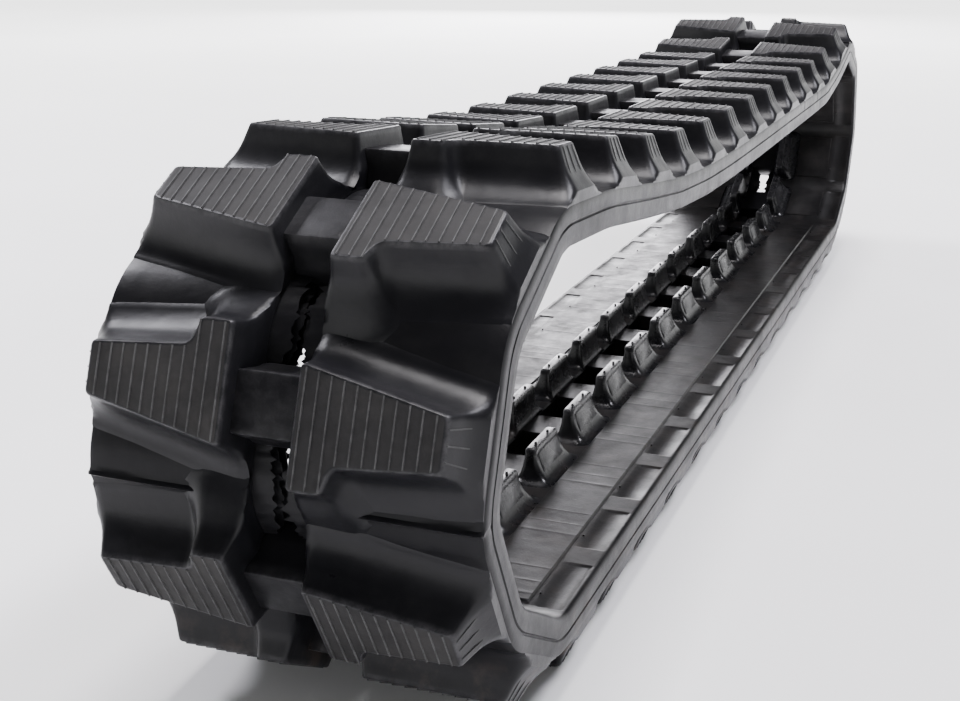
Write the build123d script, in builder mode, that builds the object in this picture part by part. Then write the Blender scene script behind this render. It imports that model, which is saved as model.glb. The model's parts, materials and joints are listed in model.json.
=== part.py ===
"""Rubber crawler track of a compact excavator, standing in its natural loop, as separate pieces.

Row frame: +X across the width, +Y along the length, +Z up, origin under the middle of the loop on
the surface that it rests on. The loop is a chain of equal pitches. The bottom run lies flat, four
links wrap up round each end, and the top run sags between the two ends.

Every link has a frame of its own: x across the width, s along the chain, n outwards to the ground
side. The chain runs forward along the floor towards -Y, up the front end, back along the top and
down the rear end. The pitch line, where n is 0, is the line of the steel cores and of every bend.
"""
from build123d import *

import os
from math import atan2, cos, degrees, exp, radians, sin, tan

os.makedirs("parts", exist_ok=True)

# Driving dimensions, in millimetres and degrees
PITCH = 72.0
RUN_LINKS = 13
TRACK_WIDTH = 180.0
BELT_THICKNESS = 19.0
LUG_HEIGHT = 24.0
BRIDGE_HEIGHT = 16.0
HORN_HEIGHT = 19.0
FRONT_ANGLES = (150.0, 120.0, 70.0, 27.0)   # slope of each front end link, lowest first
REAR_ANGLES = (156.0, 118.0, 70.0, 21.0)    # the same at the rear, seen from the other side
SAG = 28.0                                  # how far the top run hangs below its ends
SAG_FRONT = 0.19                            # share of the run over which its front end drops
SAG_REAR = 0.08                             # share of the run over which its rear end rises
BEND_TRAVEL = 8.0                           # how much further a bend can close
BEND_CLEARANCE = 0.3

# Sprocket windows down the middle
WINDOW_WIDTH = 24.0
BRIDGE_LENGTH = 34.0
BRIDGE_TAPER = 8.0

# Right-hand tread lug in (x, s). The left-hand one is the same lug turned half round.
LUG_FOOT = ((12.2, 24.0), (88.5, 9.5), (88.5, -22.0), (37.0, -25.5), (34.0, -35.4), (12.2, -35.4))
LUG_CROWN = ((16.0, 18.5), (79.0, 5.0), (79.0, -17.0), (33.5, -20.5), (30.0, -31.5), (16.0, -31.5))

# Guide horns, one beside each side of the windows
HORN_FOOT_INNER, HORN_FOOT_OUTER, HORN_FOOT_LENGTH = 12.2, 32.0, 54.0
HORN_CROWN_INNER, HORN_CROWN_OUTER, HORN_CROWN_LENGTH = 16.0, 23.0, 40.0

# Steel core under each link: two wings, a bridge over the middle and two horn cores
CORE_SPAN, CORE_LENGTH, WING_THICKNESS = 144.0, 22.0, 8.0
CORE_BRIDGE_WIDTH, CORE_BRIDGE_SHOULDER, CORE_BRIDGE_TOP = 18.0, 22.0, 19.0
CORE_HORN_INNER, CORE_HORN_OUTER, CORE_HORN_LENGTH, CORE_HORN_DEPTH = 17.6, 21.6, 30.0, 24.0

# Steel cord ply on each side, outside the core wings
PLY_INNER, PLY_OUTER, PLY_LOW, PLY_HIGH = 38.0, 80.0, 5.0, 7.0
PLY_LEAD, PLY_TRAIL = 0.0, 8.6

# Raised path for the rollers, beside each row of horns, stopping short of the bends
PATH_INNER, PATH_OUTER, PATH_HEIGHT, PATH_END = 36.0, 68.0, 1.0, 14.0

HALF_BELT = BELT_THICKNESS / 2
HALF_WIDTH = TRACK_WIDTH / 2
HALF_WINDOW = WINDOW_WIDTH / 2
HALF_RUN = RUN_LINKS * PITCH / 2
CROWN = HALF_BELT + LUG_HEIGHT              # the lug tops' height over the pitch line


# The pitch line, as bend points in (y, z)
def end_points(side, angles):
    """Bend points of one end, from the floor run up to the top run: side is -1 in front, 1 behind."""
    points = [(side * HALF_RUN, CROWN)]
    for angle in angles:
        y, z = points[-1]
        points.append((y - side * PITCH * cos(radians(angle)), z + PITCH * sin(radians(angle))))
    return points


def top_point(share, start, end):
    """Bend point of the top run, at a share of the way between its ends, which it hangs below."""
    front = 1 - exp(-((share / SAG_FRONT) ** 2))
    rear = 1 - exp(-(((1 - share) / SAG_REAR) ** 2))
    y, z = (a + (b - a) * share for a, b in zip(start, end))
    return (y, z - SAG * front * rear)


FRONT = end_points(-1, FRONT_ANGLES)
REAR = end_points(1, REAR_ANGLES)

# Bend points of every body, in chain order
bottom_path = [(HALF_RUN - PITCH * i, CROWN) for i in range(RUN_LINKS + 1)]
top_path = [top_point(i / RUN_LINKS, FRONT[-1], REAR[-1]) for i in range(RUN_LINKS + 1)]
chain = [("bottom_run", bottom_path)]
chain += [(f"front_wrap_{i}", [FRONT[i - 1], FRONT[i]]) for i in (1, 2, 3, 4)]
chain += [("top_run", top_path)]
chain += [(f"rear_wrap_{i}", [REAR[i], REAR[i - 1]]) for i in (4, 3, 2, 1)]


def slope(start, end):
    """Slope of the chain between two points, in degrees."""
    return degrees(atan2(end[1] - start[1], end[0] - start[0]))


def bend(angle_in, angle_out):
    """How far the chain turns inwards between two slopes, in degrees."""
    return (angle_in - angle_out + 180) % 360 - 180


def place(origin, angle, s, n):
    """Point at (s, n) from a bend point, along a link of the given slope."""
    a = radians(angle)
    return (origin[0] + s * cos(a) - n * sin(a), origin[1] + s * sin(a) + n * cos(a))


def offset_line(path, n, lead, trail):
    """The path moved out by n, past its first bend point by lead and short of its last by trail."""
    angles = [slope(a, b) for a, b in zip(path, path[1:])]
    line = [place(path[0], angles[0], -lead, n)]
    for i in range(1, len(path) - 1):
        half = bend(angles[i - 1], angles[i]) / 2
        line.append(place(path[i], angles[i - 1] - half, 0, n / cos(radians(half))))
    line.append(place(path[-1], angles[-1], -trail, n))
    return line


def belt_profile(path, next_angle, x):
    """Side outline of a body's belt: a round nose on its first bend, a hollow round the next one."""
    first, last = slope(path[0], path[1]), slope(path[-2], path[-1])
    hollow = HALF_BELT + BEND_CLEARANCE
    closed = radians(bend(last, next_angle) + BEND_TRAVEL)
    lip = (hollow ** 2 - HALF_BELT ** 2) ** 0.5
    foot_s = -hollow * sin(closed) + (HALF_BELT - hollow * cos(closed)) / tan(closed)
    outer = offset_line(path, HALF_BELT, 0, lip)
    inner = offset_line(path, -HALF_BELT, 0, -foot_s)
    touch = place(path[-1], last, -hollow * sin(closed), -hollow * cos(closed))
    with BuildSketch(Plane.YZ.offset(x)) as profile:
        with BuildLine():
            ThreePointArc(inner[0], place(path[0], first, -HALF_BELT, 0), outer[0])
            Polyline(*outer)
            ThreePointArc(outer[-1], place(path[-1], last, -hollow, 0), touch)
            Polyline(touch, *reversed(inner))
        make_face()
    return profile.sketch


def layer_profile(path, x, low_n, high_n, lead, trail):
    """Side outline of a layer that follows a body's pitch line between two heights."""
    low = offset_line(path, low_n, lead, trail)
    high = offset_line(path, high_n, lead, trail)
    with BuildSketch(Plane.YZ.offset(x)) as profile:
        with BuildLine():
            Polyline(*low, *reversed(high), close=True)
        make_face()
    return profile.sketch


def link_frames(path):
    """Centre and unit directions of each link on a path: (centre, along, outwards)."""
    frames = []
    for a, b in zip(path, path[1:]):
        angle = radians(slope(a, b))
        centre = Vector(0, (a[0] + b[0]) / 2, (a[1] + b[1]) / 2)
        frames.append((centre, Vector(0, cos(angle), sin(angle)), Vector(0, -sin(angle), cos(angle))))
    return frames


def level(frame, n, facing=1):
    """Plane across a link at height n, facing outwards, or inwards with facing=-1."""
    centre, along, outwards = frame
    return Plane(origin=centre + outwards * n, x_dir=(1, 0, 0), z_dir=outwards * facing)


def outline(plane, points):
    """Closed straight-sided outline on a plane."""
    with BuildSketch(plane) as shape:
        with BuildLine():
            Polyline(*points, close=True)
        make_face()
    return shape.sketch


def box_outline(plane, x_low, x_high, length):
    """Rectangle between two widths, centred along the link."""
    with BuildSketch(plane) as shape:
        with Locations(((x_low + x_high) / 2, 0)):
            Rectangle(x_high - x_low, length)
    return shape.sketch


def core_section(frame):
    """End view of a core's wings and bridge, in (x, n)."""
    centre, along, _ = frame
    wing, tip = WING_THICKNESS / 2, CORE_SPAN / 2
    side, shoulder, top = CORE_BRIDGE_WIDTH / 2, CORE_BRIDGE_SHOULDER / 2, CORE_BRIDGE_TOP
    points = [(-tip, -wing), (tip, -wing), (tip, wing), (shoulder, wing), (side, top)]
    points += [(-side, top), (-shoulder, wing), (-tip, wing)]
    return outline(Plane(origin=centre, x_dir=(1, 0, 0), z_dir=along * -1), points)


def save(part, name):
    """Label a finished piece and write it under its own name."""
    part.label = name
    export_step(part, f"parts/{name}.step")


def make_cores(frames):
    """Steel cores of a body, one solid for each link."""
    with BuildPart() as cores:
        for frame in frames:
            extrude(core_section(frame), amount=CORE_LENGTH / 2, both=True)
            for side in (-1, 1):
                edges = sorted((side * CORE_HORN_INNER, side * CORE_HORN_OUTER))
                foot = box_outline(level(frame, 0, -1), *edges, CORE_HORN_LENGTH)
                extrude(foot, amount=CORE_HORN_DEPTH)
    return cores.part


def make_bridges(frames, cores):
    """Rubber blocks over the core bridges, between the sprocket windows."""
    with BuildPart() as bridges:
        for frame in frames:
            foot = box_outline(level(frame, -HALF_BELT), -HALF_WINDOW, HALF_WINDOW, BRIDGE_LENGTH)
            extrude(foot, amount=BELT_THICKNESS)
            block = box_outline(level(frame, HALF_BELT), -HALF_WINDOW, HALF_WINDOW, BRIDGE_LENGTH)
            extrude(block, amount=BRIDGE_HEIGHT, taper=BRIDGE_TAPER)
        add(cores, mode=Mode.SUBTRACT)
    return bridges.part


def make_belt_side(path, next_angle, side, cores, ply):
    """One half of a body's belt, beside the sprocket windows."""
    start = HALF_WINDOW if side > 0 else -HALF_WIDTH
    path_start = PATH_INNER if side > 0 else -PATH_OUTER
    roller_path = (-HALF_BELT - PATH_HEIGHT, -HALF_BELT, -PATH_END, PATH_END)
    with BuildPart() as belt:
        extrude(belt_profile(path, next_angle, start), amount=HALF_WIDTH - HALF_WINDOW)
        extrude(layer_profile(path, path_start, *roller_path), amount=PATH_OUTER - PATH_INNER)
        add(cores, mode=Mode.SUBTRACT)
        add(ply, mode=Mode.SUBTRACT)
    return belt.part


def make_ply(path):
    """Steel cord ply on the left and on the right."""
    layer = (PLY_LOW, PLY_HIGH, PLY_LEAD, PLY_TRAIL)
    with BuildPart() as ply:
        extrude(layer_profile(path, -PLY_OUTER, *layer), amount=PLY_OUTER - PLY_INNER)
        extrude(layer_profile(path, PLY_INNER, *layer), amount=PLY_OUTER - PLY_INNER)
    return ply.part


def make_lugs(frames, sides):
    """Tread lugs on the given sides: 1 is the right-hand lug, -1 its half turn on the left."""
    with BuildPart() as lugs:
        for frame in frames:
            for side in sides:
                foot = outline(level(frame, HALF_BELT), [(side * x, side * s) for x, s in LUG_FOOT])
                crown = outline(level(frame, CROWN), [(side * x, side * s) for x, s in LUG_CROWN])
                loft([foot.face(), crown.face()], ruled=True)
    return lugs.part


def make_horns(frames, cores):
    """Rubber guide horns round the horn cores, on the inside of the loop."""
    with BuildPart() as horns:
        for frame in frames:
            for side in (-1, 1):
                wide = sorted((side * HORN_FOOT_INNER, side * HORN_FOOT_OUTER))
                narrow = sorted((side * HORN_CROWN_INNER, side * HORN_CROWN_OUTER))
                foot = box_outline(level(frame, -HALF_BELT, -1), *wide, HORN_FOOT_LENGTH)
                tip = level(frame, -HALF_BELT - HORN_HEIGHT, -1)
                loft([foot.face(), box_outline(tip, *narrow, HORN_CROWN_LENGTH).face()], ruled=True)
        add(cores, mode=Mode.SUBTRACT)
    return horns.part


# Every body of the chain, piece by piece
for index, (body, path) in enumerate(chain):
    following = chain[(index + 1) % len(chain)][1]
    next_angle = slope(following[0], following[1])
    frames = link_frames(path)
    core_group = make_cores(frames)
    ply_pair = make_ply(path)
    bridge_group = make_bridges(frames, core_group)
    left_belt = make_belt_side(path, next_angle, -1, core_group, ply_pair)
    right_belt = make_belt_side(path, next_angle, 1, core_group, ply_pair)

    save(core_group, f"{body}_steel_core")
    save(ply_pair, f"{body}_cord_ply")
    save(make_horns(frames, core_group), f"{body}_guide_horns")
    if len(frames) > 1:
        save(left_belt, f"{body}_belt_left")
        save(right_belt, f"{body}_belt_right")
        save(bridge_group, f"{body}_bridge_blocks")
        save(make_lugs(frames, [-1]), f"{body}_tread_lugs_left")
        save(make_lugs(frames, [1]), f"{body}_tread_lugs_right")
    else:
        with BuildPart() as belt_link:
            add(left_belt)
            add(right_belt)
            add(bridge_group)
        save(belt_link.part, f"{body}_belt")
        save(make_lugs(frames, [-1, 1]), f"{body}_tread_lugs")
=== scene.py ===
"""Looks of a compact excavator's rubber track: moulded skins, ribbed tread lugs, guide horns, bridges."""
import json
from math import cos, exp, pi, radians, sin

import bmesh
import bpy
import numpy as np
from mathutils import Matrix, Vector

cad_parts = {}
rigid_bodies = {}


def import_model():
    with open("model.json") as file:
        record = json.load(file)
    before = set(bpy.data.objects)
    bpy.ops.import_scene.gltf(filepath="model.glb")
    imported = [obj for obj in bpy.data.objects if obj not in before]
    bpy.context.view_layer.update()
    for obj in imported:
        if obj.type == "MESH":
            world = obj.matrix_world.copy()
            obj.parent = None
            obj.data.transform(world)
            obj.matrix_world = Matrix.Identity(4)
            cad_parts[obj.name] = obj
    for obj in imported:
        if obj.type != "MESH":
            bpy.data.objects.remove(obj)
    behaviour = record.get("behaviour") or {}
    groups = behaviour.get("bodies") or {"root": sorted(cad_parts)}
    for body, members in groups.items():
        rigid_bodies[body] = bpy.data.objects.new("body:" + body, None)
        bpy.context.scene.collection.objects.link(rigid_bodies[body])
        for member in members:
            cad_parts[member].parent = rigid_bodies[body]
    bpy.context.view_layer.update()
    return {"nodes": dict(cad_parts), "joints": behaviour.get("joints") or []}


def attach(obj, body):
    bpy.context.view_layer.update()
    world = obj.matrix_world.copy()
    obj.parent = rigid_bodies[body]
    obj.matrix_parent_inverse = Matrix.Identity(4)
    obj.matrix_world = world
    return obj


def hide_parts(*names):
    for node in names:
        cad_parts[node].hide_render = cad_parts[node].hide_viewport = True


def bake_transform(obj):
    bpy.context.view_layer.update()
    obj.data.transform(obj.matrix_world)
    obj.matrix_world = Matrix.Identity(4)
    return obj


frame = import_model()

# Driving dimensions, in metres, as the CAD model has them
MM = 0.001
PITCH = 72 * MM
HALF_BELT = 9.5 * MM
HALF_WIDTH = 90 * MM
HALF_WINDOW = 12 * MM
CROWN = 33.5 * MM
RUN_LINKS = 13
TOP_END_ANGLE = radians(21)                    # slope of the last end link before the top run
SAG, SAG_FRONT, SAG_REAR = 28 * MM, 0.19, 0.08
LUG_FOOT = ((12.2, 24.0), (88.5, 9.5), (88.5, -22.0), (37.0, -25.5), (34.0, -35.4), (12.2, -35.4))
LUG_CROWN = ((16.0, 18.5), (79.0, 5.0), (79.0, -17.0), (33.5, -20.5), (30.0, -31.5), (16.0, -31.5))
HORN_FOOT = ((12.2, 27.0), (32.0, 27.0), (32.0, -27.0), (12.2, -27.0))
HORN_CROWN = ((16.0, 20.0), (23.0, 20.0), (23.0, -20.0), (16.0, -20.0))
HORN_TIP = -28.5 * MM
PATH_HEIGHT = 1.0 * MM

# Dimensions of the looks alone
BEND_REACH = 12 * MM                           # a bend's arc starts this far before its hinge
BLEND_REACH = 11 * MM                          # points this far either side of each hinge are worked out but not used
RIB_HEIGHT, RIB_WIDTH, RIB_STEP = 0.55 * MM, 0.9 * MM, 5.6 * MM
FILLET_OUT, FILLET_UP = 10 * MM, 15 * MM        # the hollow at the foot of a lug
HORN_FILLET = 3.0 * MM
HORN_FLARE = 2.3                               # how late the horn's outer wall runs out to its foot
HORN_BULGE = 0.42                              # share of its end walls' slope taken up near the crown


# ---------------------------------------------------------------- the chain
def end_bends(side, count):
    """Bend points of one end from the frame's joints, lowest first, in (y, z)."""
    places = {j["name"]: j["pos_m"] for j in frame["joints"]}
    return [np.array(places[f"{side}_bend_{i}"][1:]) for i in range(1, count + 1)]


def top_bends(start, end):
    """Bend points of the sagging top run, in (y, z)."""
    points = []
    for i in range(RUN_LINKS + 1):
        u = i / RUN_LINKS
        drop = SAG * (1 - exp(-((u / SAG_FRONT) ** 2))) * (1 - exp(-(((1 - u) / SAG_REAR) ** 2)))
        points.append(start + (end - start) * u - np.array((0, drop)))
    return points


front = end_bends("front", 5)
rear = end_bends("rear", 4)
open_pivot = rear[3] + PITCH * np.array((-cos(TOP_END_ANGLE), sin(TOP_END_ANGLE)))
floor_run = [rear[0] + (front[0] - rear[0]) * i / RUN_LINKS for i in range(RUN_LINKS)]
bends = np.array(floor_run + front[:4] + top_bends(front[4], open_pivot) + rear[:0:-1])
LINKS = len(bends)
bodies = ["bottom_run"] * RUN_LINKS + [f"front_wrap_{i}" for i in (1, 2, 3, 4)]
bodies += ["top_run"] * RUN_LINKS + [f"rear_wrap_{i}" for i in (4, 3, 2, 1)]

ahead = np.roll(bends, -1, axis=0)
centres = (bends + ahead) / 2
along = (ahead - bends) / np.linalg.norm(ahead - bends, axis=1)[:, None]
outward = np.stack([-along[:, 1], along[:, 0]], axis=1)
slopes = np.arctan2(along[:, 1], along[:, 0])
turns = (np.roll(slopes, 1) - slopes + pi) % (2 * pi) - pi     # how far the chain turns in at bend i
STRAIGHT = PITCH / 2 - BEND_REACH


def on_chain(x, station, n):
    """Places on the smooth belt, at widths x, distances along the chain and heights n."""
    x, station, n = np.broadcast_arrays(x, station, n)
    link = np.floor(station / PITCH).astype(int)
    s = station - (link + 0.5) * PITCH
    ahead_of = np.sign(s)
    turn = turns[(link + (s > 0)) % LINKS]
    link = link % LINKS
    d, o = along[link], outward[link]
    share = np.clip((np.abs(s) - STRAIGHT) / BEND_REACH, 0, 1)
    safe = np.where(np.abs(turn) < 1e-6, 1e-6, turn)
    radius = BEND_REACH / np.tan(safe / 2)
    angle = share * safe / 2
    forward = np.clip(s, -STRAIGHT, STRAIGHT) + ahead_of * (radius + n) * np.sin(angle)
    out = radius * (np.cos(angle) - 1) + n * np.cos(angle)
    place = centres[link] + forward[..., None] * d + out[..., None] * o
    return np.concatenate([x[..., None], place], axis=-1)


def on_link(link, x, s, n):
    """Places on a rigid link's own straight frame."""
    x, s, n = np.broadcast_arrays(x, s, n)
    place = centres[link] + s[..., None] * along[link] + n[..., None] * outward[link]
    return np.concatenate([x[..., None], place], axis=-1)


def settled(link, x, s, n, low, high):
    """Places that follow the bent belt at height low and the rigid link from height high on."""
    bent = on_chain(x, (link + 0.5) * PITCH + s, n)
    rigid = on_link(link, x, s, n)
    w = np.clip((np.abs(n) - low) / (high - low), 0, 1)
    w = (w * w * (3 - 2 * w))[..., None]
    return bent + (rigid - bent) * w


# ---------------------------------------------------------------- meshes
class Shape:
    """Points, faces, the material of each face and the wear of each point of one piece."""

    def __init__(self):
        self.points, self.faces, self.kinds, self.wear = [], [], [], []

    def add(self, points, faces, kinds, wear=0.0):
        start = len(self.points)
        points = np.asarray(points).reshape(-1, 3)
        self.points.extend(map(tuple, points))
        self.faces.extend([tuple(start + i for i in f) for f in faces])
        self.kinds.extend(kinds if isinstance(kinds, list) else [kinds] * len(faces))
        self.wear.extend(np.broadcast_to(np.asarray(wear, float), (len(points),)).tolist())

    def loft(self, rings, kinds=0, caps=(0, 0), wear=0.0):
        """Closed rings of points joined in turn, with a cap on the first and on the last."""
        rows, count = rings.shape[0], rings.shape[1]
        faces, kind_list = [], []
        for r in range(rows - 1):
            for c in range(count):
                e = (c + 1) % count
                faces.append((r * count + c, r * count + e, (r + 1) * count + e, (r + 1) * count + c))
                kind_list.append(kinds if isinstance(kinds, int) else kinds[c])
        faces.append(tuple(reversed(range(count))))
        faces.append(tuple((rows - 1) * count + c for c in range(count)))
        if np.ndim(wear):
            wear = np.repeat(np.asarray(wear, float), count)
        self.add(rings, faces, kind_list + list(caps), wear)

    def piece(self, name, materials, sharp=38):
        """The mesh as an object, its normals turned outwards."""
        mesh = bpy.data.meshes.new(name)
        mesh.from_pydata(self.points, [], self.faces)
        mesh.polygons.foreach_set("material_index", self.kinds)
        for material in materials:
            mesh.materials.append(material)
        attribute = mesh.attributes.new("wear", "FLOAT", "POINT")
        attribute.data.foreach_set("value", np.array(self.wear, np.float32))
        turn_outwards(mesh)
        mesh.polygons.foreach_set("use_smooth", [True] * len(mesh.polygons))
        mesh.set_sharp_from_angle(angle=radians(sharp))
        piece = bpy.data.objects.new(name, mesh)
        bpy.context.scene.collection.objects.link(piece)
        return piece


def turn_outwards(mesh):
    """Turns every closed island of the mesh the right way out."""
    bm = bmesh.new()
    bm.from_mesh(mesh)
    bmesh.ops.recalc_face_normals(bm, faces=bm.faces)
    bm.to_mesh(mesh)
    bm.free()


def rounded(corners, radii, arc_steps, edge_steps):
    """A polygon in metres with rounded corners, as evenly matched points."""
    corners = [np.array(c) * MM for c in corners]
    points = []
    count = len(corners)
    for i, corner in enumerate(corners):
        back = corners[i - 1] - corner
        on = corners[(i + 1) % count] - corner
        back_long, on_long = np.linalg.norm(back), np.linalg.norm(on)
        reach = min(radii[i] * MM, 0.45 * back_long, 0.45 * on_long)
        start, end = corner + back / back_long * reach, corner + on / on_long * reach
        for k in range(arc_steps + 1):
            t = k / arc_steps
            points.append(start * (1 - t) ** 2 + corner * 2 * t * (1 - t) + end * t * t)
        after = corners[(i + 1) % count]
        next_reach = min(radii[(i + 1) % count] * MM, 0.45 * on_long)
        stop = after - on / on_long * next_reach
        for k in range(1, edge_steps[i]):
            points.append(end + (stop - end) * k / edge_steps[i])
    return np.array(points)


def normals_of(ring):
    """Unit normals of a closed flat ring of points, outwards."""
    tangent = np.roll(ring, -1, axis=0) - np.roll(ring, 1, axis=0)
    normal = np.stack([tangent[:, 1], -tangent[:, 0]], axis=1)
    area = np.sum(ring[:, 0] * np.roll(ring[:, 1], -1) - np.roll(ring[:, 0], -1) * ring[:, 1])
    normal = normal / np.linalg.norm(normal, axis=1)[:, None]
    return normal if area > 0 else -normal


# ---------------------------------------------------------------- tread lugs
LUG_STEPS = (12, 5, 9, 3, 3, 10)
LUG_TOP = CROWN - RIB_HEIGHT
lug_crown = rounded(LUG_CROWN, (3.0, 2.5, 2.5, 4.0, 2.5, 2.5), 4, LUG_STEPS)
lug_foot = rounded(LUG_FOOT, (5.0, 4.0, 4.0, 7.0, 5.0, 3.0), 4, LUG_STEPS)
lug_foot_normals = normals_of(lug_foot)
lug_crown_normals = normals_of(lug_crown)


def lug_wall(n):
    """The lug's outline at a height, before its foot is hollowed."""
    t = (CROWN - n) / (CROWN - HALF_BELT)
    return lug_crown + (lug_foot - lug_crown) * t


def lug_rings():
    """Outlines of a lug from its crown to under the belt's skin, with height and wear."""
    rings = []
    for inset, n, worn in ((1.3, LUG_TOP, 0.15), (0.45, LUG_TOP - 0.15 * MM, 1.0),
                           (0.0, LUG_TOP - 0.9 * MM, 0.8)):
        rings.append((lug_wall(n) - lug_crown_normals * inset * MM, n, worn))
    for n in (LUG_TOP - 3 * MM, LUG_TOP - 7 * MM, HALF_BELT + FILLET_UP):
        rings.append((lug_wall(n), n, 0.1))
    for a in np.linspace(0, pi / 2, 9)[1:]:
        n = HALF_BELT + FILLET_UP * (1 - sin(a))
        out = FILLET_OUT * (1 - cos(a))
        rings.append((lug_wall(n) + lug_foot_normals * out, n, 0.0))
    rings.append((lug_foot + lug_foot_normals * (FILLET_OUT + 1.2 * MM), HALF_BELT - 0.9 * MM, 0.0))
    rings.append((lug_foot + lug_foot_normals * (FILLET_OUT - 1.0 * MM), HALF_BELT - 2.5 * MM, 0.0))
    return rings


def add_lug(shape, link, side, rings):
    """One lug with the ribs on its crown and down its outer end."""
    placed, wear = [], []
    for ring, n, worn in rings:
        x = np.clip(ring[:, 0], HALF_WINDOW + 0.1 * MM, HALF_WIDTH - 0.6 * MM)
        placed.append(settled(link, side * x, side * ring[:, 1], n, HALF_BELT, HALF_BELT + FILLET_UP * 0.8))
        wear.append(worn)
    shape.loft(np.array(placed), 0, (1, 0), wear)
    add_crown_ribs(shape, link, side)
    add_end_ribs(shape, link, side)


def crossing(x):
    """The lowest and highest s of the crown at a width x."""
    hits = []
    corners = [np.array(c) * MM for c in LUG_CROWN]
    for a, b in zip(corners, corners[1:] + corners[:1]):
        if (a[0] - x) * (b[0] - x) < 0:
            hits.append(a[1] + (b[1] - a[1]) * (x - a[0]) / (b[0] - a[0]))
    return min(hits), max(hits)


def add_bar(shape, start, end, up, across, kind, worn):
    """A thin ridge between two points, narrower on top."""
    corners = []
    for place in (start, end):
        for width, height in ((-0.5, -0.5), (0.5, -0.5), (0.25, 1.0), (-0.25, 1.0)):
            corners.append(place + across * RIB_WIDTH * width + up * RIB_HEIGHT * height)
    faces = [(0, 1, 5, 4), (1, 2, 6, 5), (2, 3, 7, 6), (3, 0, 4, 7), (3, 2, 1, 0), (4, 5, 6, 7)]
    shape.add(corners, faces, kind, worn)


def add_crown_ribs(shape, link, side):
    """Fine ribs along the crown, one at each step across it, lighter than the crown partly as rubbed wear and
    partly as a painted highlight for the light they catch.
    """
    up = np.array((0, *outward[link]))
    across = np.array((1.0, 0, 0))
    x = LUG_CROWN[0][0] * MM + RIB_STEP * 0.5
    while x < LUG_CROWN[1][0] * MM - 2 * MM:
        low, high = crossing(x)
        start = on_link(link, side * x, side * (low + 0.9 * MM), LUG_TOP)
        end = on_link(link, side * x, side * (high - 0.9 * MM), LUG_TOP)
        # wear 0.8 lightens the ribs further: rubbed wear together with painted highlight
        add_bar(shape, start, end, up, across, 2, 0.8)
        x += RIB_STEP


def add_end_ribs(shape, link, side):
    """Three ribs down the outer end wall, in the same lighter rib rubber: partly rubbed wear, partly painted
    highlight.
    """
    (foot_x, foot_lead), (_, foot_trail) = LUG_FOOT[1:3]
    (crown_x, crown_lead), (_, crown_trail) = LUG_CROWN[1:3]
    wall = np.array(((CROWN - HALF_BELT) / MM, foot_x - crown_x))
    wall = wall / np.linalg.norm(wall)
    for share in (0.22, 0.5, 0.78):
        s_top = (crown_lead + (crown_trail - crown_lead) * share) * MM
        s_foot = (foot_lead + (foot_trail - foot_lead) * share) * MM
        top = on_link(link, side * 79.4 * MM, side * s_top, CROWN - 1.6 * MM)
        foot = on_link(link, side * 87.6 * MM, side * s_foot, HALF_BELT + 2.0 * MM)
        up = np.array((side * wall[0], *(outward[link] * wall[1])))
        across = np.array((0.0, *along[link]))
        add_bar(shape, top, foot, up, across, 2, 0.3)


# ---------------------------------------------------------------- bridges between the windows
def add_bridge(shape, link):
    """The block over a core bridge, run out into the lugs on both sides."""
    rings = []
    for inset, n in ((1.5, 25.5), (0.5, 25.3), (0.0, 24.6), (-0.8, 19.0), (-1.8, 13.5), (-3.0, 10.5),
                     (-3.6, 8.0), (-3.6, -7.5), (-2.6, -9.2)):
        half_x = 16.5 - 0.16 * (25.5 - n) if n > 9 else 13.0
        half_s = 13.2 - inset
        corners = ((half_x, half_s), (half_x, -half_s), (-half_x, -half_s), (-half_x, half_s))
        rings.append((rounded(corners, (3.0,) * 4, 3, (3, 4, 3, 4)), n * MM))
    placed = [on_link(link, ring[:, 0], ring[:, 1], n) for ring, n in rings]
    wear = [0.25, 0.7, 0.3] + [0.0] * (len(placed) - 3)
    shape.loft(np.array(placed), 0, (0, 0), wear)


# ---------------------------------------------------------------- guide horns
HORN_STEPS = (2, 10, 2, 10)
horn_crown = rounded(HORN_CROWN, (2.2,) * 4, 4, HORN_STEPS)
horn_foot = rounded(HORN_FOOT, (5.0,) * 4, 4, HORN_STEPS)
horn_foot_normals = normals_of(horn_foot)
horn_crown_normals = normals_of(horn_crown)


def horn_wall(n):
    """The horn's outline at a height over the inner face."""
    t = max(0.0, (n - HORN_TIP) / (-HALF_BELT - HORN_TIP))
    share = np.array((t ** HORN_FLARE, HORN_BULGE * t ** 0.5 + (1 - HORN_BULGE) * t ** 4))
    return horn_crown + (horn_foot - horn_crown) * share


def add_horn(shape, link, side):
    """One guide horn with the raised panel on its outer face and the vent pips on its crown."""
    placed, wear = [], []
    for inset, above, worn in ((1.5, 0.0, 0.6), (0.6, 0.25, 1.0), (0.0, 1.1, 0.8), (0.0, 4.0, 0.2),
                               (0.0, 8.0, 0.0), (0.0, 11.0, 0.0), (0.0, 13.5, 0.0), (0.0, 16.0, 0.0)):
        n = HORN_TIP + above * MM
        placed.append((horn_wall(n) - horn_crown_normals * inset * MM, n, worn))
    for a in np.linspace(0, pi / 2, 6)[1:]:
        n = -HALF_BELT - HORN_FILLET * (1 - sin(a))
        placed.append((horn_wall(n) + horn_foot_normals * HORN_FILLET * (1 - cos(a)), n, 0.0))
    placed.append((horn_foot + horn_foot_normals * HORN_FILLET, -HALF_BELT + 1.6 * MM, 0.0))
    rings = []
    for ring, n, worn in placed:
        x = np.maximum(ring[:, 0], HALF_WINDOW + 0.1 * MM)
        rings.append(settled(link, side * x, ring[:, 1], n, HALF_BELT, HALF_BELT + 5 * MM))
        wear.append(worn)
    shape.loft(np.array(rings), 0, (0, 0), wear)
    add_horn_panel(shape, link, side)
    for s in (-11, 11):
        add_pip(shape, link, side * 19.5 * MM, s * MM, HORN_TIP, 0.9 * MM, -1.3 * MM, 0)


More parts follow.
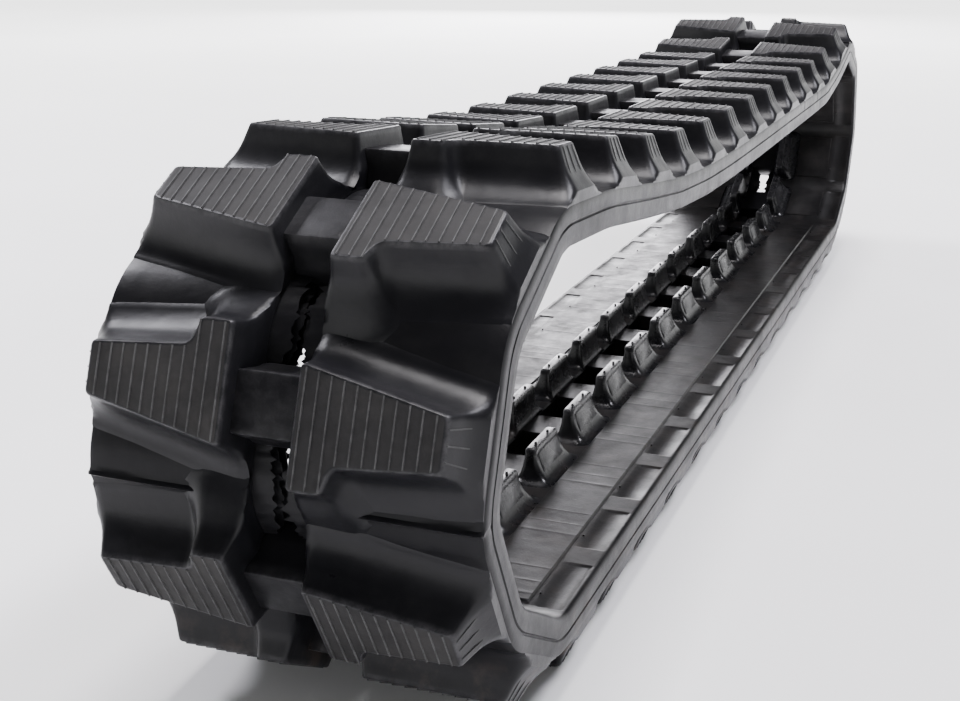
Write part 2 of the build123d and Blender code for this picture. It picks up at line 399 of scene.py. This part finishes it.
def add_horn_panel(shape, link, side):
    """A bevelled plate moulded on the horn's outer face."""
    def face_x(n):
        t = (n - HORN_TIP) / (-HALF_BELT - HORN_TIP)
        return (HORN_CROWN[1][0] + (HORN_FOOT[1][0] - HORN_CROWN[1][0]) * t ** HORN_FLARE) * MM

    rings = []
    for grow, lift in ((0.0, -0.6), (0.0, 0.25), (-1.1, 0.85)):
        low, high = HORN_TIP + 3.2 * MM - grow * MM, -HALF_BELT - 5.2 * MM + grow * MM
        wide_low, wide_high = (16.0 + grow) * MM, (17.5 + grow) * MM
        corners = []
        for k in range(6):
            n = low + (high - low) * k / 5
            corners.append((n, wide_low + (wide_high - wide_low) * k / 5))
        corners += [(n, -w) for n, w in reversed(corners)]
        ring = [(face_x(n) + lift * MM, w, n) for n, w in corners]
        rings.append([on_link(link, np.array(side * x), np.array(w), np.array(n)) for x, w, n in ring])
    shape.loft(np.array(rings), 0, (0, 0), (0.0, 0.3, 0.7))


def add_pip(shape, link, x, s, n, radius, height, kind):
    """A small round vent stub left by the mould."""
    turn = np.linspace(0, 2 * pi, 9)[:-1]
    rings = []
    for scale, lift in ((1.15, -0.25), (1.0, 0.3), (0.9, 0.85), (0.55, 1.0)):
        px = x + radius * scale * np.cos(turn)
        ps = s + radius * scale * np.sin(turn)
        rings.append(on_link(link, px, ps, n + height * lift))
    shape.loft(np.array(rings), kind, (kind, kind), (0.0, 0.2, 0.6, 0.6))


# ---------------------------------------------------------------- the belt's skins
# Section of the right-hand skin in millimetres: x, n, and what the point belongs to.
SECTION = [(12.0, 8.3, "edge"), (13.0, 9.5, "out"), (26.0, 9.5, "out"), (42.0, 9.5, "out"),
           (58.0, 9.5, "out"), (72.0, 9.5, "out"), (80.0, 9.5, "mark"), (87.0, 9.5, "mark"),
           (89.2, 9.1, "mark"), (90.0, 7.9, "mark"), (90.0, 4.6, "mark"), (90.0, 1.9, "mark"),
           (89.2, 1.3, "flank"), (89.2, 0.8, "flank"), (90.0, 0.2, "flank"), (90.0, -4.0, "flank"),
           (90.0, -7.6, "flank"), (89.2, -9.0, "flank"), (88.0, -9.5, "in"), (86.4, -9.5, "in"),
           (85.6, -9.5, "panel"), (80.0, -9.5, "panel"), (74.4, -9.5, "panel"), (73.6, -9.5, "in"),
           (68.8, -9.5, "in"), (68.0, -9.5, "path"), (60.0, -9.5, "path"), (52.0, -9.5, "path"),
           (44.0, -9.5, "path"), (36.0, -9.5, "path"), (35.2, -9.5, "in"), (24.0, -9.5, "in"),
           (13.0, -9.5, "in"), (12.0, -8.3, "edge"), (12.0, 0.0, "edge")]
INNER = ("in", "panel", "path")
section_x = np.array([p[0] for p in SECTION]) * MM
section_n = np.array([p[1] for p in SECTION]) * MM
section_part = [p[2] for p in SECTION]
section_kinds = [1 if section_part[i] in INNER and section_part[(i + 1) % len(SECTION)] in INNER else 0
                 for i in range(len(SECTION))]
out_points = np.array([p in ("out", "mark") for p in section_part])
mark_points = np.array([p == "mark" for p in section_part])
path_points = np.array([p == "path" for p in section_part])
panel_points = np.array([p == "panel" for p in section_part])

SPLICE = 15 * PITCH                            # the splice line lies on a bend of the front end
MOULD_JOINTS = (26.06 * PITCH, 27.05 * PITCH)  # joints of the mould show at the edge of the top run
FLASH_IN_RUNS = ((6.4, 1.2, 2.2),)             # height in the belt, width and raggedness in mm
# Round the end bends the flash widens into sheets that nearly close the windows: partly mould flash, partly
# painted shade for the dark seen through them.
FLASH_AND_SHADE_SHEETS_AT_FRONT = ((7.0, 7.6, 4.2), (3.0, 9.6, 2.8), (-1.0, 11.9, 0.6), (-5.0, 8.4, 4.0))
FLASH_AND_SHADE_SHEETS_AT_REAR = ((7.0, 5.5, 4.0), (0.0, 7.0, 3.5))
PATH_STOP = 22 * MM                            # the raised path ends this far from a link's middle
PANEL_STOP = 26 * MM                           # and the edge panel this far
PATH_LINES = (-14, 2, 15)                      # fine ridges across the path of each link, in mm


def step_up(value, edge):
    """1 below an edge and 0 above it, over 0.8 mm."""
    return np.clip((edge - value) / (0.8 * MM) + 0.5, 0, 1)


def stations_of(start, end):
    """Distances along the chain where a skin has a ring: even steps and both sides of each detail."""
    marks = list(np.linspace(start, end, max(2, int(round((end - start) / (3 * MM))) + 1)))
    for link in range(int(start // PITCH) - 1, int(end // PITCH) + 2):
        middle = (link + 0.5) * PITCH
        for stop in (PATH_STOP, PANEL_STOP):
            for side in (-1, 1):
                marks += [middle + side * (stop + off * MM) for off in (-0.4, 0.4)]
        for line in PATH_LINES:
            marks += [middle + (line + off) * MM for off in (-0.6, 0, 0.6)]
    for line in (SPLICE, *MOULD_JOINTS):
        marks += [line + off * MM for off in (-1.0, -0.3, 0.3, 1.0)]
    inside = sorted(m for m in marks if start <= m <= end)
    kept = [inside[0]]
    for m in inside[1:]:
        if m - kept[-1] > 0.15 * MM:
            kept.append(m)
    kept[-1] = end
    return np.array(kept)


def skin_rings(stations, side):
    """The skin's sections at each station, with its roller path, edge panels, splice and mould lines."""
    x = np.tile(section_x, (len(stations), 1))
    n = np.tile(section_n, (len(stations), 1))
    link = np.floor(stations / PITCH).astype(int)
    s = np.abs(stations - (link + 0.5) * PITCH)
    local = stations - (link + 0.5) * PITCH
    run = np.array([body.endswith("run") for body in bodies])
    beside = link + np.sign(local).astype(int)
    raised = np.where(run[link % LINKS] & run[beside % LINKS], 1.0, step_up(s, PATH_STOP))
    lines = sum(np.exp(-(((local - at * MM) / (0.45 * MM)) ** 2)) for at in PATH_LINES)
    n -= path_points * (raised * PATH_HEIGHT + raised * lines * 0.1 * MM)[:, None]
    n += panel_points * (step_up(s, PANEL_STOP) * 0.6 * MM)[:, None]
    n += out_points * (2.2 * MM * np.exp(-(((stations - SPLICE) / (0.9 * MM)) ** 2)))[:, None]
    cut = sum(np.exp(-(((stations - at) / (0.6 * MM)) ** 2)) for at in MOULD_JOINTS)
    n -= mark_points * (section_n > 8 * MM) * (0.9 * MM * cut)[:, None]
    x -= mark_points * (section_x > 88 * MM) * (0.7 * MM * cut)[:, None]
    wave = 0.12 * MM * np.sin(stations[:, None] * 190 + section_x * 300) * np.sin(stations[:, None] * 83)
    n -= np.where(out_points, np.abs(wave), 0)
    return on_chain(side * x, stations[:, None], n)


def add_flash_and_shade_sheets(shape, start, end, side):
    """Ragged thin rubber left along the window edges between two stations. Round the ends it widens into
    sheets that nearly close the windows, partly mould flash and partly painted shade for the dark seen
    through them.
    """
    for window in range(int(start // PITCH), int(end // PITCH) + 2):
        low, high = max(start, window * PITCH - 20 * MM), min(end, window * PITCH + 20 * MM)
        if high - low < 6 * MM:
            continue
        pair = bodies[(window - 1) % LINKS] + bodies[window % LINKS]
        layers = FLASH_AND_SHADE_SHEETS_AT_FRONT if "front" in pair else FLASH_AND_SHADE_SHEETS_AT_REAR if "rear" in pair else FLASH_IN_RUNS
        stations = np.linspace(low, high, int((high - low) / (1.5 * MM)) + 2)
        bow = np.sin(np.pi * np.clip((stations - window * PITCH + 22 * MM) / (44 * MM), 0, 1)) ** 0.25
        random = np.random.default_rng(window * 2 + (side > 0))
        for height, wide, rough in layers:
            ragged = random.random(len(stations))
            reach = (0.3 + (wide + rough * ragged ** 2) * bow) * MM
            rings = []
            for t, depth in ((0.0, 0.4), (1.0, 0.12), (1.0, -0.12), (0.0, -0.4)):
                x = HALF_WINDOW + 0.5 * MM - (reach + 0.5 * MM) * t
                rings.append(on_chain(side * x, stations, (height + depth + 1.2 * (ragged - 0.5) * t) * MM))
            shape.loft(np.array(rings).transpose(1, 0, 2), 0, (0, 0), 0.1)


def add_skin(shape, start, end, side):
    """One side's skin between two stations, with its flash (widened round the ends into painted-shade sheets
    over the windows) and the vent stubs on its inner face.
    """
    shape.loft(skin_rings(stations_of(start, end), side), section_kinds, (0, 0))
    add_flash_and_shade_sheets(shape, start, end, side)
    for link in range(int(start // PITCH) - 1, int(end // PITCH) + 2):
        for s, x in ((-19, 33.6), (12, 71.2)):
            if start < (link + 0.5) * PITCH + s * MM < end:
                add_pip(shape, link % LINKS, side * x * MM, s * MM, -HALF_BELT, 0.6 * MM, -0.8 * MM, 1)


def add_nose(shape, station, side):
    """The round end of a skin, inside its neighbour's, where the loop can open."""
    turn = np.linspace(-pi / 2, pi / 2, 13)
    after = int(round(station / PITCH))
    hub, d, o = bends[after % LINKS], along[after - 1], outward[after - 1]
    rings = []
    for x in (HALF_WINDOW + 0.3 * MM, HALF_WIDTH - 1.2 * MM):
        place = hub + 8.6 * MM * (np.cos(turn)[:, None] * d + np.sin(turn)[:, None] * o)
        rings.append(np.concatenate([np.full((len(turn), 1), side * x), place], axis=1))
    shape.loft(np.array(rings), 0, (0, 0))


# ---------------------------------------------------------------- materials
def ramp(tree, source, stops):
    """A colour ramp on a value: stops are (position, grey or colour)."""
    node = tree.nodes.new("ShaderNodeValToRGB")
    elements = node.color_ramp.elements
    while len(elements) < len(stops):
        elements.new(0.5)
    for element, (position, colour) in zip(elements, stops):
        element.position = position
        element.color = (*colour, 1) if not isinstance(colour, (int, float)) else (colour,) * 3 + (1,)
    tree.links.new(source, node.inputs["Fac"])
    return node.outputs["Color"]


def noise_at(tree, vector, scale, detail=6.0, roughness=0.6, stretch=None):
    """Noise over the object's own coordinates, stretched if asked."""
    if stretch:
        mapping = tree.nodes.new("ShaderNodeMapping")
        mapping.inputs["Scale"].default_value = stretch
        tree.links.new(vector, mapping.inputs["Vector"])
        vector = mapping.outputs["Vector"]
    node = tree.nodes.new("ShaderNodeTexNoise")
    node.inputs["Scale"].default_value = scale
    node.inputs["Detail"].default_value = detail
    node.inputs["Roughness"].default_value = roughness
    tree.links.new(vector, node.inputs["Vector"])
    return node.outputs["Fac"]


def mix(tree, factor, a, b):
    """Colour a towards colour b by a factor."""
    node = tree.nodes.new("ShaderNodeMix")
    node.data_type = "RGBA"
    for value, socket in ((factor, node.inputs["Factor"]), (a, node.inputs["A"]), (b, node.inputs["B"])):
        if isinstance(value, tuple):
            socket.default_value = (*value, 1)
        elif isinstance(value, (int, float)):
            socket.default_value = value
        else:
            tree.links.new(value, socket)
    return node.outputs["Result"]


def maths(tree, kind, a, b):
    """One arithmetic step."""
    node = tree.nodes.new("ShaderNodeMath")
    node.operation = kind
    for value, socket in ((a, node.inputs[0]), (b, node.inputs[1])):
        if isinstance(value, (int, float)):
            socket.default_value = value
        else:
            tree.links.new(value, socket)
    return node.outputs["Value"]


def bumped(tree, height, strength, distance, under=None):
    """A bump on top of another one."""
    node = tree.nodes.new("ShaderNodeBump")
    node.inputs["Strength"].default_value = strength
    node.inputs["Distance"].default_value = distance
    tree.links.new(height, node.inputs["Height"])
    if under:
        tree.links.new(under, node.inputs["Normal"])
    return node.outputs["Normal"]


def start_material(name):
    """A new material with its node tree, its shader and the object's own coordinates."""
    material = bpy.data.materials.new(name)
    material.use_nodes = True
    tree = material.node_tree
    shader = tree.nodes["Principled BSDF"]
    place = tree.nodes.new("ShaderNodeTexCoord").outputs["Object"]
    return material, tree, shader, place


def rubber(name, dark, light, dust, gloss, dust_share, grain=0.25, worn_colour=(0.05, 0.049, 0.052),
           ior=1.24, scuffed=False):
    """Moulded black rubber: mottled, dusty in patches, worn on its edges, finely grained."""
    material, tree, shader, place = start_material(name)
    broad = noise_at(tree, place, 14, 5, 0.55)
    fine = noise_at(tree, place, 170, 8, 0.7)
    grit = noise_at(tree, place, 1100, 3, 0.6)
    colour = mix(tree, ramp(tree, broad, ((0.35, 0.0), (0.68, 1.0))), dark, light)
    colour = mix(tree, maths(tree, "MULTIPLY", fine, 0.35), colour, tuple(v * 0.4 for v in dark))
    patches = noise_at(tree, place, 26, 9, 0.68, (1, 0.55, 1))
    dusty = maths(tree, "MULTIPLY", ramp(tree, patches, ((0.47, 0.0), (0.74, 1.0))), dust_share)
    colour = mix(tree, dusty, colour, dust)
    if scuffed:
        streaks = noise_at(tree, place, 30, 5, 0.55, (0.6, 2.2, 2.2))
        scuff = maths(tree, "MULTIPLY", ramp(tree, streaks, ((0.57, 0.0), (0.68, 1.0))), 0.3)
        colour = mix(tree, scuff, colour, dust)
    parts = tree.nodes.new("ShaderNodeSeparateXYZ")
    tree.links.new(place, parts.inputs["Vector"])
    ground = ramp(tree, parts.outputs["Z"], ((0.012, 1.0), (0.05, 0.0)))
    soil = ramp(tree, noise_at(tree, place, 55, 7, 0.7), ((0.5, 0.0), (0.66, 0.7)))
    ground = maths(tree, "MULTIPLY", ground, soil)
    colour = mix(tree, ground, colour, (0.075, 0.055, 0.043))
    worn = tree.nodes.new("ShaderNodeAttribute")
    worn.attribute_name = "wear"
    rubbed = maths(tree, "MULTIPLY", worn.outputs["Fac"], ramp(tree, fine, ((0.42, 0.1), (0.62, 0.75))))
    colour = mix(tree, rubbed, colour, worn_colour)
    tree.links.new(colour, shader.inputs["Base Color"])
    low, high = gloss
    shine = ramp(tree, noise_at(tree, place, 60, 7, 0.65), ((0.3, low), (0.7, high)))
    shine = maths(tree, "ADD", shine, maths(tree, "MULTIPLY", dusty, 0.3))
    tree.links.new(shine, shader.inputs["Roughness"])
    swell = bumped(tree, noise_at(tree, place, 48, 3, 0.5), 0.35, 0.0009)
    pitted = bumped(tree, fine, 0.3, 0.00035, swell)
    tree.links.new(bumped(tree, grit, grain, 0.00012, pitted), shader.inputs["Normal"])
    shader.inputs["IOR"].default_value = ior
    return material


def steel(name, colour, dull, roughness):
    """Forged or drawn steel with scale and scratches."""
    material, tree, shader, place = start_material(name)
    scale = noise_at(tree, place, 90, 7, 0.65)
    colour = mix(tree, ramp(tree, scale, ((0.4, 0.0), (0.65, 1.0))), colour, dull)
    tree.links.new(colour, shader.inputs["Base Color"])
    tree.links.new(ramp(tree, scale, ((0.3, roughness), (0.7, roughness + 0.25))), shader.inputs["Roughness"])
    scratches = noise_at(tree, place, 420, 5, 0.6, (1, 0.2, 1))
    tree.links.new(bumped(tree, scratches, 0.3, 0.0003), shader.inputs["Normal"])
    shader.inputs["Metallic"].default_value = 0.95
    return material


tread_rubber = rubber("tread_rubber", (0.005, 0.005, 0.0062), (0.0085, 0.0085, 0.01), (0.018, 0.0178, 0.019),
                      (0.27, 0.4), 0.25, ior=1.26)
crown_rubber = rubber("crown_rubber", (0.016, 0.0155, 0.016), (0.027, 0.026, 0.026), (0.052, 0.0495, 0.047),
                      (0.5, 0.66), 0.5, 0.5, (0.06, 0.06, 0.062), 1.2)
# The ribs' rubber is lighter than the crown's: partly rubbed wear, partly a painted highlight for the light
# the raised ribs catch.
rib_wear_and_painted_highlight = rubber("rib_wear_and_painted_highlight", (0.03, 0.03, 0.031), (0.06, 0.06, 0.06), (0.08, 0.08, 0.078),
                    (0.5, 0.7), 0.5, 0.4, (0.1, 0.1, 0.1), 1.2)
belt_rubber = rubber("belt_rubber", (0.0048, 0.0048, 0.0058), (0.0085, 0.0084, 0.0095),
                     (0.02, 0.0194, 0.0197), (0.28, 0.42), 0.3, ior=1.2)
inner_rubber = rubber("inner_rubber", (0.007, 0.0067, 0.007), (0.013, 0.0123, 0.0123), (0.036, 0.033, 0.031),
                      (0.3, 0.48), 0.5, 0.4, ior=1.3, scuffed=True)
horn_rubber = rubber("horn_rubber", (0.0045, 0.0045, 0.0054), (0.0085, 0.0085, 0.0098),
                     (0.016, 0.0158, 0.017), (0.2, 0.34), 0.2, ior=1.36)
core_steel = steel("core_steel", (0.2, 0.19, 0.18), (0.06, 0.05, 0.045), 0.45)
cord_steel = steel("cord_steel", (0.5, 0.44, 0.3), (0.25, 0.2, 0.13), 0.3)


# ---------------------------------------------------------------- the pieces
rings_of_lug = lug_rings()
in_order = list(dict.fromkeys(bodies))
first_link = {body: bodies.index(body) for body in in_order}
last_link = {body: LINKS - 1 - bodies[::-1].index(body) for body in in_order}


def settle(piece, body, nodes):
    """Puts a finished piece on its body, in place of the CAD nodes it stands for."""
    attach(piece, body)
    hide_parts(*nodes)


for body in in_order:
    members = [i for i in range(LINKS) if bodies[i] == body]
    is_run = body.endswith("run")
    for side, word in ((-1, "left"), (1, "right")):
        lugs = Shape()
        for link in members:
            add_lug(lugs, link, side, rings_of_lug)
        node = f"{body}_tread_lugs_{word}" if is_run else f"{body}_tread_lugs"
        piece = lugs.piece(f"{body}_ribbed_lugs_{word}", [tread_rubber, crown_rubber, rib_wear_and_painted_highlight])
        settle(piece, body, [node])
    horns, bridges = Shape(), Shape()
    for link in members:
        add_horn(horns, link, -1)
        add_horn(horns, link, 1)
        add_bridge(bridges, link)
    settle(horns.piece(f"{body}_moulded_horns", [horn_rubber]), body, [f"{body}_guide_horns"])
    node = f"{body}_bridge_blocks" if is_run else f"{body}_belt"
    settle(bridges.piece(f"{body}_moulded_bridges", [belt_rubber]), body, [node])
    if is_run:
        start, end = (first_link[body] + 0.5) * PITCH, (last_link[body] + 0.5) * PITCH
        if body == "top_run":
            end = (last_link[body] + 1) * PITCH
        for side, word in ((-1, "left"), (1, "right")):
            skin = Shape()
            add_skin(skin, start, end, side)
            if body == "top_run":
                add_nose(skin, end, side)
            piece = skin.piece(f"{body}_skin_{word}", [belt_rubber, inner_rubber])
            settle(piece, body, [f"{body}_belt_{word}"])

# Skins curved round the bends, one for each hinge and side, from the middle of one link to the middle of the
# next, fixed where they are built
for joint in frame["joints"]:
    pair = {joint["parent"], joint["child"]}
    link = next(i for i in range(LINKS) if {bodies[i], bodies[(i + 1) % LINKS]} == pair)
    hinge = (link + 1) * PITCH
    start, end = hinge - PITCH / 2, hinge + PITCH / 2
    low, high = (on_chain(0.0, hinge + side * BLEND_REACH, 0.0) for side in (-1, 1))
    for side, word in ((-1, "left"), (1, "right")):
        skin = Shape()
        add_skin(skin, start, end, side)
        piece = skin.piece(f"{joint['name']}_skin_{word}", [belt_rubber, inner_rubber])
        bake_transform(piece)
        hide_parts(*[f"{b}_belt" for b in pair if not b.endswith("run")])

# The half link behind the open pivot
for side, word in ((-1, "left"), (1, "right")):
    skin = Shape()
    first = first_link["rear_wrap_4"]
    add_skin(skin, first * PITCH, (first + 0.5) * PITCH, side)
    settle(skin.piece(f"rear_wrap_4_lap_{word}", [belt_rubber, inner_rubber]), "rear_wrap_4",
           ["rear_wrap_4_belt"])

# The steel inside keeps its CAD shape
for name, node in frame["nodes"].items():
    for ending, material in (("_steel_core", core_steel), ("_cord_ply", cord_steel)):
        if name.endswith(ending):
            node.data.materials.clear()
            node.data.materials.append(material)


# ---------------------------------------------------------------- floor, light and camera
def floor():
    """A plain pale floor."""
    mesh = bpy.data.meshes.new("floor")
    mesh.from_pydata([(-6, -6, 0), (6, -6, 0), (6, 6, 0), (-6, 6, 0)], [], [(0, 1, 2, 3)])
    piece = bpy.data.objects.new("floor", mesh)
    bpy.context.scene.collection.objects.link(piece)
    material, tree, shader, place = start_material("pale_floor")
    shade = ramp(tree, noise_at(tree, place, 3, 3), ((0.3, 0.88), (0.7, 0.92)))
    tree.links.new(shade, shader.inputs["Base Color"])
    tree.links.new(shade, shader.inputs["Emission Color"])
    far = tree.nodes.new("ShaderNodeVectorMath")
    far.operation = "LENGTH"
    tree.links.new(place, far.inputs[0])
    glow = ramp(tree, maths(tree, "MULTIPLY", far.outputs["Value"], 0.2), ((0.1, 0.0), (0.6, 1.0)))
    tree.links.new(maths(tree, "MULTIPLY", glow, 3.2), shader.inputs["Emission Strength"])
    shader.inputs["Roughness"].default_value = 0.9
    mesh.materials.append(material)


def soft_light(name, place, target, size, power, colour=(1, 1, 1)):
    """An area light that points at a target."""
    lamp = bpy.data.lights.new(name, "AREA")
    lamp.shape = "RECTANGLE"
    lamp.size, lamp.size_y = size
    lamp.energy = power
    lamp.color = colour
    piece = bpy.data.objects.new(name, lamp)
    piece.location = place
    piece.rotation_euler = (Vector(target) - Vector(place)).to_track_quat("-Z", "Y").to_euler()
    bpy.context.scene.collection.objects.link(piece)


floor()
soft_light("key_light", (1.1, 0.4, 2.4), (0, -0.3, 0.15), (0.7, 0.7), 88, (0.93, 0.92, 1.0))
soft_light("left_light", (-1.8, 0.2, 2.1), (0, -0.3, 0.15), (0.7, 0.7), 66, (0.94, 0.93, 1.0))
soft_light("top_light", (0.0, 0.0, 2.5), (0, -0.2, 0.2), (0.8, 1.2), 92, (0.99, 0.96, 0.98))
soft_light("back_light", (-1.2, 3.6, 0.95), (0, 0, 0.15), (1.3, 1.4), 75, (0.97, 0.95, 1.0))
world = bpy.data.worlds.new("studio")
world.use_nodes = True
sky = world.node_tree
direction = sky.nodes.new("ShaderNodeSeparateXYZ")
sky.links.new(sky.nodes.new("ShaderNodeTexCoord").outputs["Generated"], direction.inputs["Vector"])
sky.links.new(ramp(sky, direction.outputs["Z"], ((0.08, (0.96, 0.965, 0.97)), (0.3, (0.05, 0.05, 0.052)))),
              sky.nodes["Background"].inputs["Color"])
sky.nodes["Background"].inputs["Strength"].default_value = 2.4
bpy.context.scene.world = world

# The camera stands low in front of the near end, to the right
VIEW_YAW, VIEW_PITCH, VIEW_ROLL = radians(20.61), radians(17.21), radians(0.32)
EYE = (0.270, -1.058, 0.366)
FOCAL_SHARE = 1.526                            # focal length over the picture's width
look = Vector((-sin(VIEW_YAW) * cos(VIEW_PITCH), cos(VIEW_YAW) * cos(VIEW_PITCH), -sin(VIEW_PITCH)))
right = Vector((cos(VIEW_YAW), sin(VIEW_YAW), 0))
upright = right.cross(look)
right, upright = (right * cos(VIEW_ROLL) + upright * sin(VIEW_ROLL),
                  upright * cos(VIEW_ROLL) - right * sin(VIEW_ROLL))
camera = bpy.data.objects.new("camera", bpy.data.cameras.new("camera"))
camera.data.sensor_width = 36
camera.data.lens = 36 * FOCAL_SHARE
camera.data.clip_start = 0.01
camera.matrix_world = Matrix.Translation(EYE) @ Matrix((right, upright, -look)).transposed().to_4x4()
bpy.context.scene.collection.objects.link(camera)
bpy.context.scene.camera = camera
